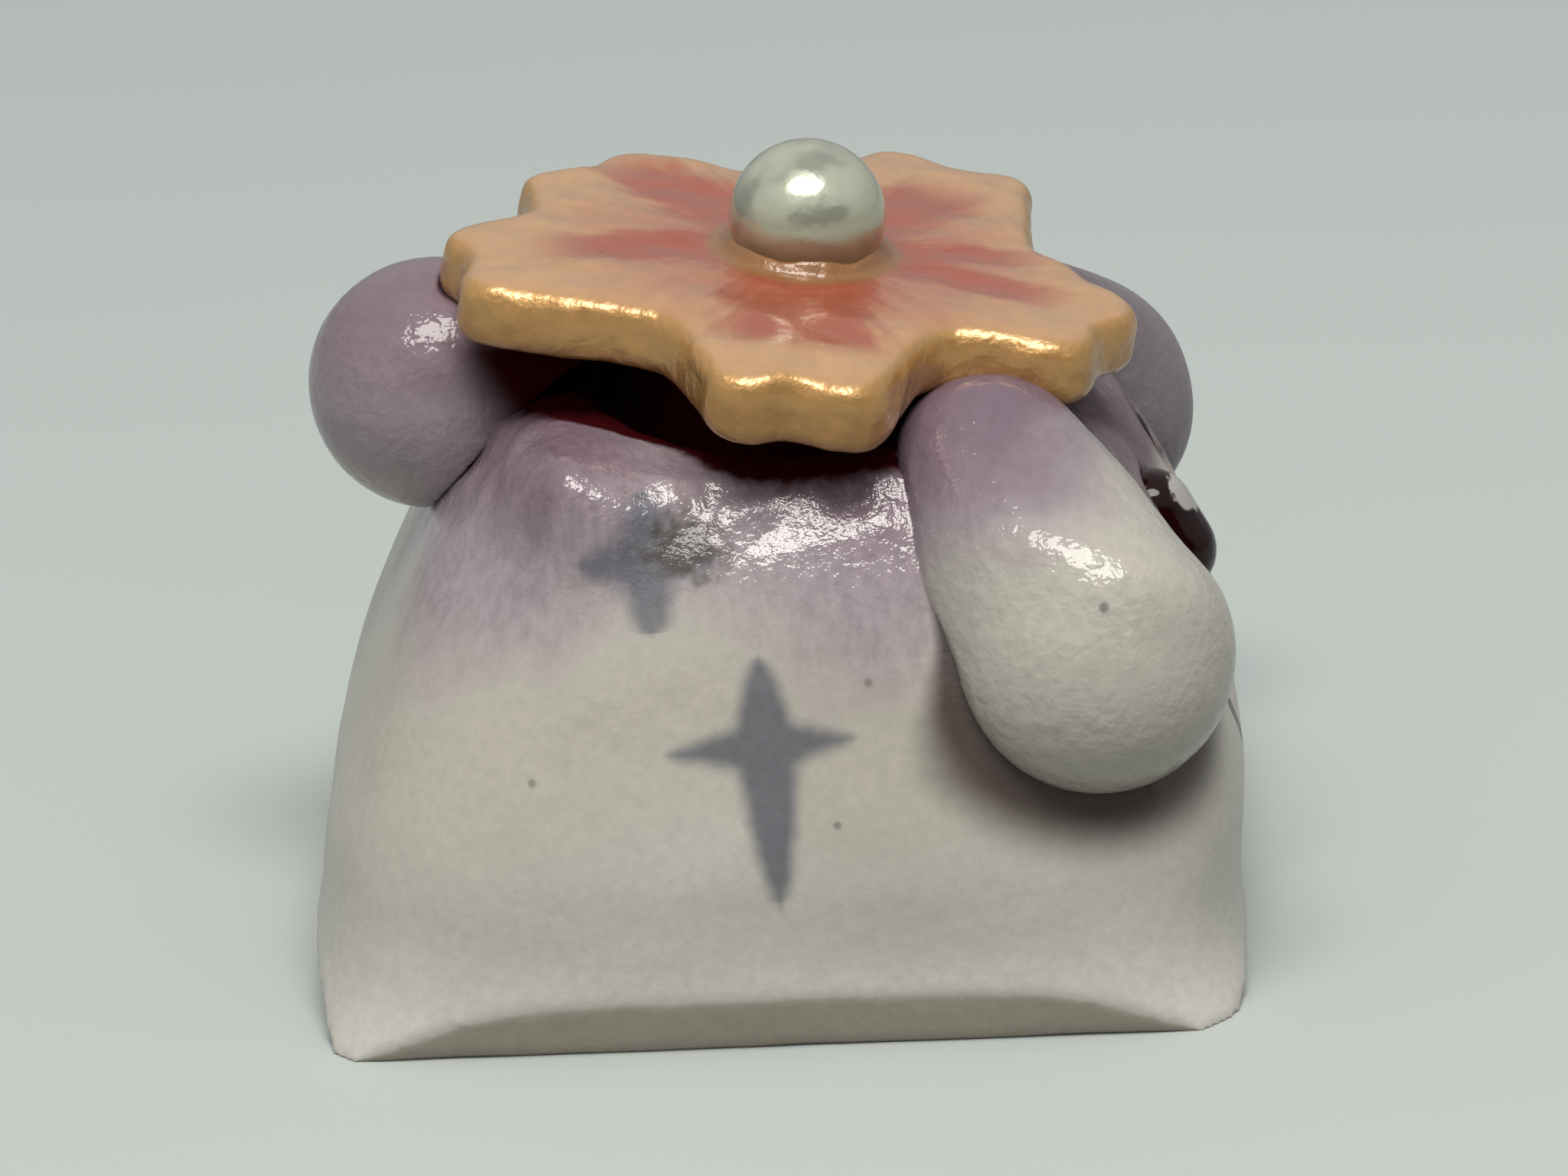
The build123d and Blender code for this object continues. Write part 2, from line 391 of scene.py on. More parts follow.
def chalkedColour(tree, point, xyz, clay):
    # cream, painted paler low down to even out the shade there, with lavender chalk over its top and plum
    # chalk at the crown
    stray = clay["stray"]
    patch = addNode(tree, "TexNoise", {"Vector": point, "Scale": 1 / clay["patch"], "Detail": 3.0})
    grain = addNode(
        tree, "TexNoise", {"Vector": point, "Scale": 1 / clay["grain"], "Detail": 2.0, "Roughness": 0.6}
    )
    # the chalk reaches lower at the back edge and right of the big star, and higher between them
    swing = addNode(tree, "Math", {0: xyz["Y"], (1, 2): stray["wave"]}, operation="MULTIPLY_ADD")
    swing = addNode(tree, "Math", {0: swing}, operation="COSINE")
    level = addNode(tree, "Math", {0: swing, 1: stray["height"], 2: xyz["Z"]}, operation="MULTIPLY_ADD")
    level = addNode(tree, "Math", {0: patch, 1: stray["patch"], 2: level}, operation="MULTIPLY_ADD")
    level = addNode(tree, "Math", {0: grain, 1: stray["grain"], 2: level}, operation="MULTIPLY_ADD")
    level = addNode(tree, "Math", {0: level, 1: stray["middle"]}, operation="SUBTRACT")
    foot = addNode(tree, "MapRange", {0: level, (1, 2): clay["paintedLightLowFade"]}, **smooth)
    chalk = addNode(tree, "MapRange", {0: level, (1, 2): clay["fade"]}, **smooth)
    dusk = addNode(tree, "MapRange", {0: level, (1, 2): clay["plumFade"]}, **smooth)
    colour = addNode(tree, "Mix", {0: foot, 6: linear(clay["cream"]), 7: linear(clay["paintedLightLow"])}, **blend)
    colour = addNode(tree, "Mix", {0: chalk, 6: colour, 7: linear(clay["lavender"])}, **blend)
    colour = addNode(tree, "Mix", {0: dusk, 6: colour, 7: linear(clay["plum"])}, **blend)
    return colour, chalk, grain


def browShadeMask(tree, xyz, brow):
    # painted shade on the brow between the ears, lower on its left
    front = addNode(tree, "MapRange", {0: xyz["Y"], (1, 2): brow["front"]}, **smooth)
    lower = addNode(tree, "MapRange", {0: xyz["X"], (1, 2): brow["left"], 4: brow["lower"]})
    high = addNode(tree, "Math", {0: xyz["Z"], 1: lower}, operation="ADD")
    high = addNode(tree, "MapRange", {0: high, (1, 2): brow["height"]}, **smooth)
    return addNode(tree, "Math", {0: front, 1: high}, operation="MULTIPLY")


def starMask(tree, xyz, wobble, star):
    # two strokes that cross, each one widest at the middle and drawn out to points, the whole a little turned
    lean = starStroke["lean"]
    aside = addNode(tree, "Math", {0: xyz["Y"], 1: star["y"]}, operation="SUBTRACT")
    above = addNode(tree, "Math", {0: xyz["Z"], 1: star["z"]}, operation="SUBTRACT")
    turned = addNode(tree, "Math", {0: above, 1: -lean, 2: aside}, operation="MULTIPLY_ADD")
    raised = addNode(tree, "Math", {0: aside, 1: lean, 2: above}, operation="MULTIPLY_ADD")
    offs = []
    for along, across, plus, minus, half, sharp in (
        (raised, turned, star["up"], star["down"], star["tall"], star["sharp"][0]),
        (turned, raised, star["behind"], star["ahead"], star["wide"], star["sharp"][1]),
    ):
        one = addNode(tree, "Math", {0: along, 1: 1 / plus}, operation="MULTIPLY")
        two = addNode(tree, "Math", {0: along, 1: -1 / minus}, operation="MULTIPLY")
        share = addNode(tree, "Math", {0: one, 1: two}, operation="MAXIMUM")
        rest = addNode(tree, "Math", {0: 1.0, 1: share}, operation="SUBTRACT", use_clamp=True)
        width = addNode(tree, "Math", {0: rest, 1: sharp}, operation="POWER")
        beyond = addNode(tree, "Math", {0: share, 1: 1.0}, operation="SUBTRACT")
        beyond = addNode(tree, "Math", {0: beyond, 1: 0.0}, operation="MAXIMUM")
        off = addNode(tree, "Math", {0: across}, operation="ABSOLUTE")
        off = addNode(tree, "Math", {0: width, 1: -half, 2: off}, operation="MULTIPLY_ADD")
        off = addNode(tree, "Math", {0: beyond, 1: starStroke["beyond"], 2: off}, operation="MULTIPLY_ADD")
        offs.append(off)
    off = addNode(tree, "Math", {(0, 1): offs, 2: starStroke["merge"]}, operation="SMOOTH_MIN")
    off = addNode(tree, "Math", {0: wobble, 1: starStroke["wobble"], 2: off}, operation="MULTIPLY_ADD")
    soft = star["soft"]
    inside = addNode(tree, "MapRange", {0: off, (1, 2): (soft, -soft), 4: star["strength"]}, **smooth)
    near = addNode(tree, "MapRange", {0: xyz["X"], (1, 2): rightSide})
    return addNode(tree, "Math", {0: inside, 1: near}, operation="MULTIPLY")


def smudgeMask(tree, point, ragged, smudge):
    # dark chalk smudged over the small star
    off = addNode(tree, "VectorMath", {0: point, 1: smudge["place"]}, operation="SUBTRACT")
    off = addNode(tree, "VectorMath", {0: off, 1: smudge["squash"]}, operation="MULTIPLY")
    off = addNode(tree, "VectorMath", {0: off}, out="Value", operation="LENGTH")
    off = addNode(tree, "Math", {0: ragged, 1: smudge["ragged"], 2: off}, operation="MULTIPLY_ADD")
    return addNode(tree, "MapRange", {0: off, (1, 2): smudge["edge"], 4: smudge["share"]}, **smooth)


def speckMasks(tree, point, places, speck):
    # single specks of dust caught under the varnish, about 0.2 mm across, each at its y and z
    flat = addNode(tree, "VectorMath", {0: point, 1: (0, 1, 1)}, operation="MULTIPLY")
    masks = []
    for y, z in places:
        away = addNode(tree, "VectorMath", {0: flat, 1: (0, y, z)}, out="Value", operation="DISTANCE")
        masks.append(addNode(tree, "MapRange", {0: away, (1, 2): speck["edge"], 4: speck["share"]}, **smooth))
    return masks


def dustMask(tree, point, dust):
    # a rare scatter of finer dust under the varnish
    cells = addNode(tree, "TexVoronoi", {"Vector": point, "Scale": 1 / dust["spacing"]}).node.outputs
    kept = addNode(tree, "SeparateColor", {0: cells["Color"]})
    kept = addNode(tree, "Math", {0: kept, 1: dust["rare"]}, operation="GREATER_THAN")
    mask = addNode(tree, "MapRange", {0: cells["Distance"], (1, 2): dust["edge"], 4: dust["share"]})
    return addNode(tree, "Math", {0: mask, 1: kept}, operation="MULTIPLY")


def mouthMask(tree, xyz, mouth):
    # one thin smiling line across the face, its ends turned up
    span = addNode(tree, "Math", {0: xyz["X"]}, operation="ABSOLUTE")
    off = addNode(tree, "Math", {0: span, 1: 2.0}, operation="POWER")
    off = addNode(tree, "Math", {0: off, 1: -mouth["bow"], 2: xyz["Z"]}, operation="MULTIPLY_ADD")
    curl = addNode(tree, "Math", {0: span, 1: 4.0}, operation="POWER")
    off = addNode(tree, "Math", {0: curl, 1: -mouth["curl"], 2: off}, operation="MULTIPLY_ADD")
    off = addNode(tree, "Math", {0: off, 1: mouth["low"]}, operation="SUBTRACT")
    off = addNode(tree, "Math", {0: off}, operation="ABSOLUTE")
    # taken upright, so the band is taller where the line climbs
    half = addNode(tree, "MapRange", {0: span, (1, 2): mouth["climb"], (3, 4): mouth["half"]})
    off = addNode(tree, "Math", {0: off, 1: half}, operation="DIVIDE")
    line = addNode(tree, "MapRange", {0: off, (1, 2): mouth["edge"]}, **smooth)
    ends = addNode(tree, "MapRange", {0: span, (1, 2): mouth["ends"]}, **smooth)
    front = addNode(tree, "MapRange", {0: xyz["Y"], (1, 2): mouth["front"]})
    mask = addNode(tree, "Math", {0: line, 1: ends}, operation="MULTIPLY")
    return addNode(tree, "Math", {0: mask, 1: front}, operation="MULTIPLY")


def earShadowMask(tree, point, xyz, ear, earShadow):
    # painted shadow round one ear, thin at its sides and broad under its tip
    tip = Vector(ear["tip"])
    run = Vector(ear["neck"]) - tip
    offset = addNode(tree, "VectorMath", {0: point, 1: tip}, operation="SUBTRACT")
    share = addNode(
        tree, "VectorMath", {0: offset, 1: run / run.length_squared}, out="Value", operation="DOT_PRODUCT"
    )
    share = addNode(tree, "Math", {0: share, 1: 0.0}, operation="ADD", use_clamp=True)
    foot = addNode(tree, "VectorMath", {0: run, "Scale": share}, operation="SCALE")
    away = addNode(tree, "VectorMath", {0: offset, 1: foot}, operation="SUBTRACT")
    away = addNode(tree, "VectorMath", {0: away}, out="Value", operation="LENGTH")
    away = addNode(tree, "Math", {0: share, 1: earShadow["taper"], 2: away}, operation="MULTIPLY_ADD")
    away = addNode(tree, "Math", {0: away, 1: earShadow["start"]}, operation="SUBTRACT")
    heights = [tip.z + drop for drop in earShadow["below"]]
    width = addNode(tree, "MapRange", {0: xyz["Z"], (1, 2): heights, (3, 4): earShadow["width"]})
    away = addNode(tree, "Math", {0: away, 1: width}, operation="DIVIDE")
    return addNode(tree, "MapRange", {0: away, (1, 2): earShadow["edge"], 4: earShadow["share"]}, **smooth)


def gapShadeMask(tree, point, xyz, ragged, seat, gapShade):
    # painted shade in the gap under the flower
    flat = addNode(tree, "VectorMath", {0: point, 1: (1, 1, 0)}, operation="MULTIPLY")
    ring = addNode(tree, "VectorMath", {0: flat, 1: (*seat, 0.0)}, out="Value", operation="DISTANCE")
    ring = addNode(tree, "Math", {0: ragged, 1: gapShade["ragged"], 2: ring}, operation="MULTIPLY_ADD")
    near = addNode(tree, "MapRange", {0: xyz["Y"], (1, 2): gapShade["near"], 4: gapShade["nearReach"]})
    ring = addNode(tree, "Math", {0: ring, 1: near}, operation="SUBTRACT")
    inner = addNode(tree, "Math", {0: xyz["X"]}, operation="ABSOLUTE")
    inner = addNode(tree, "MapRange", {0: inner, (1, 2): gapShade["inner"], 4: gapShade["innerReach"]}, **smooth)
    behind = addNode(tree, "MapRange", {0: xyz["Y"], (1, 2): gapShade["behind"]})
    inner = addNode(tree, "Math", {0: inner, 1: behind}, operation="MULTIPLY")
    ring = addNode(tree, "Math", {0: ring, 1: inner}, operation="SUBTRACT")
    mask = addNode(tree, "MapRange", {0: ring, (1, 2): gapShade["edge"]}, **smooth)
    high = addNode(tree, "MapRange", {0: xyz["Z"], (1, 2): gapShade["height"]})
    return addNode(tree, "Math", {0: mask, 1: high}, operation="MULTIPLY")


def bodyVarnish(tree, shader, point, xyz, bare, dull, varnish):
    # none on the painted shade of the brow and under the flower, a thin coat low down, a thick wrinkled one on
    # the shoulder
    gloss = addNode(tree, "MapRange", {0: bare, (3, 4): (varnish["gloss"], 0.0)})
    tree.links.new(gloss, shader.inputs["Specular IOR Level"])
    dry = addNode(tree, "Math", {(0, 1): dull, 2: bare}, operation="MULTIPLY_ADD", use_clamp=True)
    thick = addNode(tree, "MapRange", {0: xyz["Z"], (1, 2): varnish["coatRise"], (3, 4): varnish["coat"]})
    coat = addNode(tree, "MapRange", {0: dry, (3, 4): (thick, 0.0)})
    tree.links.new(coat, shader.inputs["Coat Weight"])
    wrinkle = addNode(
        tree, "TexNoise", {"Vector": point, "Scale": 1 / varnish["ripple"], "Detail": 3.0, "Roughness": 0.6}
    )
    shoulder = addNode(tree, "MapRange", {0: xyz["Z"], (1, 2): varnish["wrinkled"], 3: varnish["calm"]})
    rough = addNode(tree, "Math", {0: wrinkle, 1: shoulder}, operation="MULTIPLY")
    bump = addNode(tree, "Bump", {"Strength": 1.0, "Distance": varnish["depth"] * mm, "Height": rough})
    tree.links.new(bump, shader.inputs["Normal"])
    tree.links.new(bump, shader.inputs["Coat Normal"])
    shader.inputs["Roughness"].default_value = 0.55
    shader.inputs["Coat Roughness"].default_value = 0.06
    shader.inputs["Coat IOR"].default_value = 1.65


def bodyMaterial(clay):
    # Polymer clay, baked, chalked and brushed with gloss varnish: soft even colour, wet broken glints, and
    # painted shade round the ears, under the flower, on the brow and on the foot
    material, tree, shader, point = newMaterial("chalkedPolymerClay")
    xyz = addNode(tree, "SeparateXYZ", {0: point}).node.outputs
    colour, chalk, grain = chalkedColour(tree, point, xyz, clay)
    ragged = addNode(tree, "TexNoise", {"Vector": point, "Scale": 1 / clay["starEdge"], "Detail": 2.0})
    ragged = addNode(tree, "Math", {0: ragged, 1: 0.5}, operation="SUBTRACT")
    brow = browShadeMask(tree, xyz, clay["brow"])
    paintedBrowShade = addNode(tree, "Math", {0: brow, 1: clay["brow"]["share"]}, operation="MULTIPLY")
    smudge = smudgeMask(tree, point, ragged, clay["smudge"])
    near = addNode(tree, "MapRange", {0: xyz["X"], (1, 2): rightSide})
    far = addNode(tree, "MapRange", {0: xyz["X"], (2, 1): rightSide})
    dusty = [(mask, near) for mask in speckMasks(tree, point, specks, clay["speck"])]
    dusty += [(dustMask(tree, point, clay["dust"]), far)]
    facing = addNode(tree, "NewGeometry", {}, out="Normal")
    facing = addNode(tree, "SeparateXYZ", {0: facing}, out="Z")
    # painted shade where the foot faces down
    pared = addNode(tree, "MapRange", {0: facing, (1, 2): clay["pared"]["facing"]}, **smooth)
    gapShade = gapShadeMask(tree, point, xyz, ragged, clay["seat"], clay["gapShade"])
    # the marks and the painted shade, in the order in which they lie on each other
    marks = [(paintedBrowShade, clay["brow"]["colour"])]
    marks += [(starMask(tree, xyz, ragged, star), clay["starColour"]) for star in stars]
    marks += [(smudge, clay["smudge"]["colour"])]
    for mask, side in dusty:
        mask = addNode(tree, "Math", {0: mask, 1: side}, operation="MULTIPLY")
        marks += [(mask, clay["speck"]["colour"])]
    marks += [(mouthMask(tree, xyz, clay["mouth"]), clay["mouth"]["colour"])]
    # painted shadow round each ear
    for name in ("rightEar", "leftEar"):
        marks += [(earShadowMask(tree, point, xyz, earClay[name], clay["earShadow"]), clay["earShadow"]["colour"])]
    marks += [(pared, clay["pared"]["colour"]), (gapShade, clay["gapShade"]["colour"])]
    for mask, shade in marks:
        colour = addNode(tree, "Mix", {0: mask, 6: colour, 7: linear(shade)}, **blend)
    tone = addNode(tree, "MapRange", {0: grain, (1, 2): noiseSpan, (3, 4): clay["tone"]})
    colour = addNode(tree, "HueSaturation", {"Value": tone, "Color": colour})
    brush = clay["brush"]
    streaks = addNode(tree, "Mapping", {"Vector": point, "Scale": brush["perMm"]})
    streaks = addNode(tree, "TexNoise", {"Vector": streaks, "Scale": 1.0, "Detail": 3.0, "Roughness": 0.65})
    streaks = addNode(tree, "MapRange", {0: streaks, (1, 2): brush["span"], (3, 4): brush["tone"]})
    colour = addNode(tree, "HueSaturation", {"Value": streaks, "Fac": chalk, "Color": colour})
    tree.links.new(colour, shader.inputs["Base Color"])
    bare = addNode(tree, "Math", {0: gapShade, 1: brow}, operation="MAXIMUM")
    bodyVarnish(tree, shader, point, xyz, bare, (smudge, clay["smudge"]["dull"]), clay["varnish"])
    return material


body = handMade("body", "clayBody", bodyClay)
sculpt(body, shapeBody)
rubSocket(body, bodyClay["socket"])
putBack(body, bodyMaterial(bodyClay))
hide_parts("body")
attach(body, "root")

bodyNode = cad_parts["body"].data
wall = BVHTree.FromPolygons(
    [vertex.co * metre for vertex in bodyNode.vertices], [face.vertices for face in bodyNode.polygons]
)
# A drop thumbed to a leaf: each pair of ends is in shares of the drop's length from its tip,
# but for beddedEnds, which are mm off the dome's wall
earLeaf = {
    "way": (0.93, 0.37),                            # out and up
    "slant": 0.2,                                   # of the ridge, per mm ahead
    "flat": -0.12, "full": 0.15, "fullEnds": (-0.1, 0.47), "rolled": 0.32, "rolledEnds": (0.4, 1.25),
    "bedded": 0.2, "beddedEnds": (0.3, 0.0),
    "broad": 0.2, "broadEnds": (0.1, 0.75), "forwardEnds": (0.6, 0.0),
}
# what the ears and the lobe share, sizes in mm
earFinish = {
    "patch": 1.6, "grain": 0.25, "tone": (0.93, 1.07), "stray": 1.8, "middle": 0.9, "leanFrom": 4.8,
    "speck": {"colour": "#5d5853", "edge": (0.13, 0.04), "share": 0.7},
    "gloss": 0.3, "ripple": 0.34, "depth": 0.045,
}


def shapeEar(point, clay):
    # flat below a slanting ridge, rolled back above it, broader ahead, its rim bedded in the wall
    leaf = earLeaf
    tip = Vector(clay["tip"])
    axis = Vector(clay["neck"]) - tip
    share = (point - tip).dot(axis) / axis.length_squared
    ahead = (tip + axis * share - point).y
    ridge = share + leaf["slant"] * ahead
    place, facing, face, lift = wall.find_nearest(point)
    aside, up = leaf["way"]
    out = Vector((math.copysign(aside, tip.x), 0.0, up))
    fuller = leaf["flat"] + leaf["full"] * ease(*leaf["fullEnds"], ridge)
    fuller -= leaf["rolled"] * ease(*leaf["rolledEnds"], ridge)
    bedded = leaf["bedded"] * ease(*leaf["beddedEnds"], lift)
    broader = ahead * leaf["broad"] * ease(*leaf["broadEnds"], share)
    broader += clay["forward"] * ease(*leaf["forwardEnds"], share)
    return point + out * lift * fuller - facing * bedded - Vector((0, broader, 0))


def lobeGapShade(tree, xyz, patch, tip, gapShade):
    # painted shade where the lobe runs in under the flower, slanted and ragged
    slant = addNode(tree, "Math", {0: xyz["Z"], 1: -gapShade["slant"], 2: xyz["Y"]}, operation="MULTIPLY_ADD")
    slant = addNode(tree, "Math", {0: patch, 1: gapShade["ragged"], 2: slant}, operation="MULTIPLY_ADD")
    level = gapShade["slant"] * tip[2] - gapShade["ragged"] / 2
    slant = addNode(tree, "Math", {0: slant, 1: level}, operation="ADD")
    mask = addNode(tree, "MapRange", {0: slant, (1, 2): gapShade["edge"]}, **smooth)
    under = addNode(tree, "MapRange", {0: xyz["Z"], (1, 2): gapShade["under"]}, **smooth)
    return addNode(tree, "Math", {0: mask, 1: under}, operation="MULTIPLY")


def earMaterial(name, clay, finish):
    # Polymer clay, rolled smooth, chalked at its root and varnished: even colour, long soft glints
    material, tree, shader, point = newMaterial(name + "PolymerClay")
    xyz = addNode(tree, "SeparateXYZ", {0: point}).node.outputs
    patch = addNode(tree, "TexNoise", {"Vector": point, "Scale": 1 / finish["patch"], "Detail": 3.0})
    grain = addNode(tree, "TexNoise", {"Vector": point, "Scale": 1 / finish["grain"], "Detail": 2.0})
    # more chalk on the side away from the face
    level = addNode(tree, "Math", {0: xyz["Y"], 1: clay["lean"], 2: xyz["Z"]}, operation="MULTIPLY_ADD")
    level = addNode(tree, "Math", {0: patch, 1: finish["stray"], 2: level}, operation="MULTIPLY_ADD")
    middle = finish["middle"] - finish["leanFrom"] * clay["lean"]
    level = addNode(tree, "Math", {0: level, 1: middle}, operation="SUBTRACT")
    chalk = addNode(tree, "MapRange", {0: level, (1, 2): clay["fade"]}, **smooth)
    dusk = addNode(tree, "MapRange", {0: level, (1, 2): clay["plumFade"]}, **smooth)
    colour = addNode(tree, "Mix", {0: chalk, 6: linear(clay["cream"]), 7: linear(clay["lavender"])}, **blend)
    colour = addNode(tree, "Mix", {0: dusk, 6: colour, 7: linear(clay["plum"])}, **blend)
    for mask in speckMasks(tree, point, clay["specks"], finish["speck"]):
        colour = addNode(tree, "Mix", {0: mask, 6: colour, 7: linear(finish["speck"]["colour"])}, **blend)
    glosses = {"Coat Weight": clay["coat"], "Specular IOR Level": finish["gloss"]}
    for socket, amount in glosses.items():
        shader.inputs[socket].default_value = amount
    # the lobe takes the same painted shade as the body in the gap under the flower
    if clay["gapShade"]:
        mask = lobeGapShade(tree, xyz, patch, clay["tip"], clay["gapShade"])
        colour = addNode(tree, "Mix", {0: mask, 6: colour, 7: linear(bodyClay["gapShade"]["colour"])}, **blend)
        for socket, amount in glosses.items():
            gloss = addNode(tree, "MapRange", {0: mask, (3, 4): (amount, 0.0)})
            tree.links.new(gloss, shader.inputs[socket])
    tone = addNode(tree, "MapRange", {0: grain, (1, 2): noiseSpan, (3, 4): finish["tone"]})
    colour = addNode(tree, "HueSaturation", {"Value": tone, "Color": colour})
    tree.links.new(colour, shader.inputs["Base Color"])
    ripple = addNode(
        tree, "TexNoise", {"Vector": point, "Scale": 1 / finish["ripple"], "Detail": 2.5, "Roughness": 0.6}
    )
    bump = addNode(tree, "Bump", {"Strength": 1.0, "Distance": finish["depth"] * mm, "Height": ripple})
    tree.links.new(bump, shader.inputs["Normal"])
    tree.links.new(bump, shader.inputs["Coat Normal"])
    shader.inputs["Roughness"].default_value = 0.55
    shader.inputs["Coat Roughness"].default_value = 0.07
    return material


for name, clay in earClay.items():
    lobe = handMade(clay["node"], name, clay)
    if clay["leaf"]:
        sculpt(lobe, lambda point, normal: shapeEar(point, clay))
    putBack(lobe, earMaterial(name, clay, earFinish))
    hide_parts(clay["node"])
    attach(lobe, "root")

# Flower: one flat piece of peach clay with gold along its edges. Sizes in mm, bearings in degrees.
flowerClay = {
    "voxel": 0.075, "soften": 44, "dents": [],
    "seat": (-0.55, -0.85, 11.6),   # middle of its underside
    "tilt": (3.0, 7.0),             # degrees towards the right side and the face
    # the petals hang down towards their tips, the near one most, and its underside a little more
    "hang": {"all": 0.1, "near": 0.22, "bearing": -88, "narrow": 4, "ends": (3.2, 7.0)},
    "belly": {"below": 0.5, "depth": 0.1, "ends": (3.5, 6.0)},
    "groove": {"above": 0.9, "depth": 0.07, "start": (1.7, 2.3)},
    # the collar is low, uneven and tight round the bead
    "rim": {"within": 2, "above": 1.35, "low": 0.3, "wave": 0.3, "waveSize": 1.6, "tight": 0.1},
    "lump": {"size": 0.9, "depth": 0.07, "ends": (1.9, 2.4)},
    "ridge": {"size": 0.5, "depth": 0.05},      # thumb marks on the edge
    # brown: painted shade low on the petals' walls
    "peach": "#c1976d", "coral": "#a24e38", "haze": "#ac6c53", "gold": "#cb9c5e", "brown": "#94602f",
    "collar": "#94673c", "collarEdge": (1.95, 1.75),
    "grain": 0.3, "patch": 1.2, "tone": (0.95, 1.05),
    # brush hairs run out from the middle: 11 to a radian, which is 0.2 mm apart beside the collar
    "hairs": {"perTurn": (11.0, 0.6, 1.0), "span": (0.3, 0.7), "fray": (-0.2, 0.2), "tone": (0.95, 1.05)},
    "stroke": {"wander": 0.9, "inner": 1.4, "edge": (1.3, 0.5), "start": (0.0, 0.6), "share": 0.9},
    "hazy": {"stray": 2.0, "edge": (5.4, 2.4), "share": 0.8},
    # the gold's brown lower part is painted shade down the walls
    "gilt": {"facing": (0.96, 0.7), "ragged": 1.6, "wallShade": (0.75, 0.1), "share": 0.42, "metal": 0.45},
    "collarDull": 0.8,
    "dust": {"colour": "#6b4334", "spacing": 1.1, "rare": 0.72, "edge": (0.075, 0.04), "share": 0.7},
    "depth": 0.02, "rough": (1.0, 2.4),         # of the grain; the rubbed edge is rougher than the petals
}
# coral strokes: bearing in degrees and distances in mm from the flower's axis, half width in mm
strokes = [
    {"bearing": -90, "outer": 5.2, "half": (1.55, 1.5), "fade": 1.0},
    {"bearing": -18, "outer": 5.6, "half": (0.6, 0.5), "fade": 1.6},
    {"bearing": 8, "outer": 5.0, "half": (0.8, 0.5), "fade": 1.6},
    {"bearing": 55, "outer": 5.8, "half": (1.1, 1.0), "fade": 1.6},
    {"bearing": 128, "outer": 6.4, "half": (1.2, 0.8), "fade": 1.6},
    {"bearing": 189, "outer": 5.6, "half": (1.0, 0.55), "fade": 1.8},
]


def flowerFrame(clay):
    aside, ahead = (math.tan(math.radians(angle)) for angle in clay["tilt"])
    up = Vector((-aside, -ahead, 1)).normalized()
    along = Vector((0, -1, 0))
    along = (along - up * along.dot(up)).normalized()
    return Matrix((along, up.cross(along), up))     # rows: towards the face, the left side, up


def grooveDepth(reach, bearing, groove):
    # the strokes were drawn in soft clay, so each one is a shallow groove
    depth = 0.0
    for stroke in strokes:
        swing = bearing - math.radians(stroke["bearing"])
        onward, across = reach * math.cos(swing), reach * math.sin(swing) / stroke["half"][1]
        outer = stroke["outer"]
        ends = ease(*groove["start"], onward) * ease(outer, outer - stroke["fade"], onward)
        depth += groove["depth"] * ends * math.exp(-across * across)
    return depth


def shapeFlower(point, normal):
    clay = flowerClay
    hang, belly, groove, rim = (clay[name] for name in ("hang", "belly", "groove", "rim"))
    lump, ridge = clay["lump"], clay["ridge"]
    turn = flowerFrame(clay)
    along, aside, height = turn @ (point - Vector(clay["seat"]))
    reach = math.hypot(along, aside)
    bearing = math.atan2(aside, along)
    near = max(0.0, math.cos(bearing - math.radians(hang["bearing"]))) ** hang["narrow"]
    lower = (hang["all"] + hang["near"] * near) * ease(*hang["ends"], reach)
    if height < belly["below"]:
        lower += belly["depth"] * near * ease(*belly["ends"], reach)
    if height > groove["above"]:
        lower += grooveDepth(reach, bearing, groove)
    if reach < rim["within"] and height > rim["above"]:
        size = rim["waveSize"]
        wave = noise.noise(Vector((size * math.cos(bearing), size * math.sin(bearing), 0)))
        lower += (height - rim["above"]) * (rim["low"] + rim["wave"] * wave)
        point -= turn.transposed() @ Vector((along, aside, 0)) * rim["tight"] / reach
    upright = 1 - abs(normal.dot(turn[2]))
    bulge = lump["depth"] * noise.noise(point / lump["size"]) * ease(*lump["ends"], reach)
    bulge += ridge["depth"] * upright * noise.noise(Vector((along, aside, height)) / ridge["size"])
    return point - turn[2] * lower + normal * bulge


def strokeMask(tree, spot, sway, fray, stroke, brush):
    # one coral stroke, drawn outwards: it wanders, tapers, frays at its sides and fades at its end
    angle = -math.radians(stroke["bearing"])
    swung = addNode(tree, "VectorRotate", {"Vector": spot, "Angle": angle}, rotation_type="Z_AXIS")
    along = addNode(tree, "SeparateXYZ", {0: swung}).node.outputs
    outer = stroke["outer"]
    wide = addNode(tree, "Math", {0: sway, 1: brush["wander"], 2: along["Y"]}, operation="MULTIPLY_ADD")
    wide = addNode(tree, "Math", {0: wide}, operation="ABSOLUTE")
    run = (brush["inner"], outer)
    taper = addNode(tree, "MapRange", {0: along["X"], (1, 2): run, (3, 4): stroke["half"]})
    across = addNode(tree, "Math", {0: wide, 1: taper}, operation="DIVIDE")
    across = addNode(tree, "Math", {0: across, 1: fray}, operation="ADD")
    across = addNode(tree, "MapRange", {0: across, (1, 2): brush["edge"]}, **smooth)
    ends = addNode(tree, "MapRange", {0: along["X"], (1, 2): (outer, outer - stroke["fade"])}, **smooth)
    start = addNode(tree, "MapRange", {0: along["X"], (1, 2): brush["start"]})
    mark = addNode(tree, "Math", {0: across, 1: ends}, operation="MULTIPLY")
    return addNode(tree, "Math", {0: mark, 1: start}, operation="MULTIPLY")


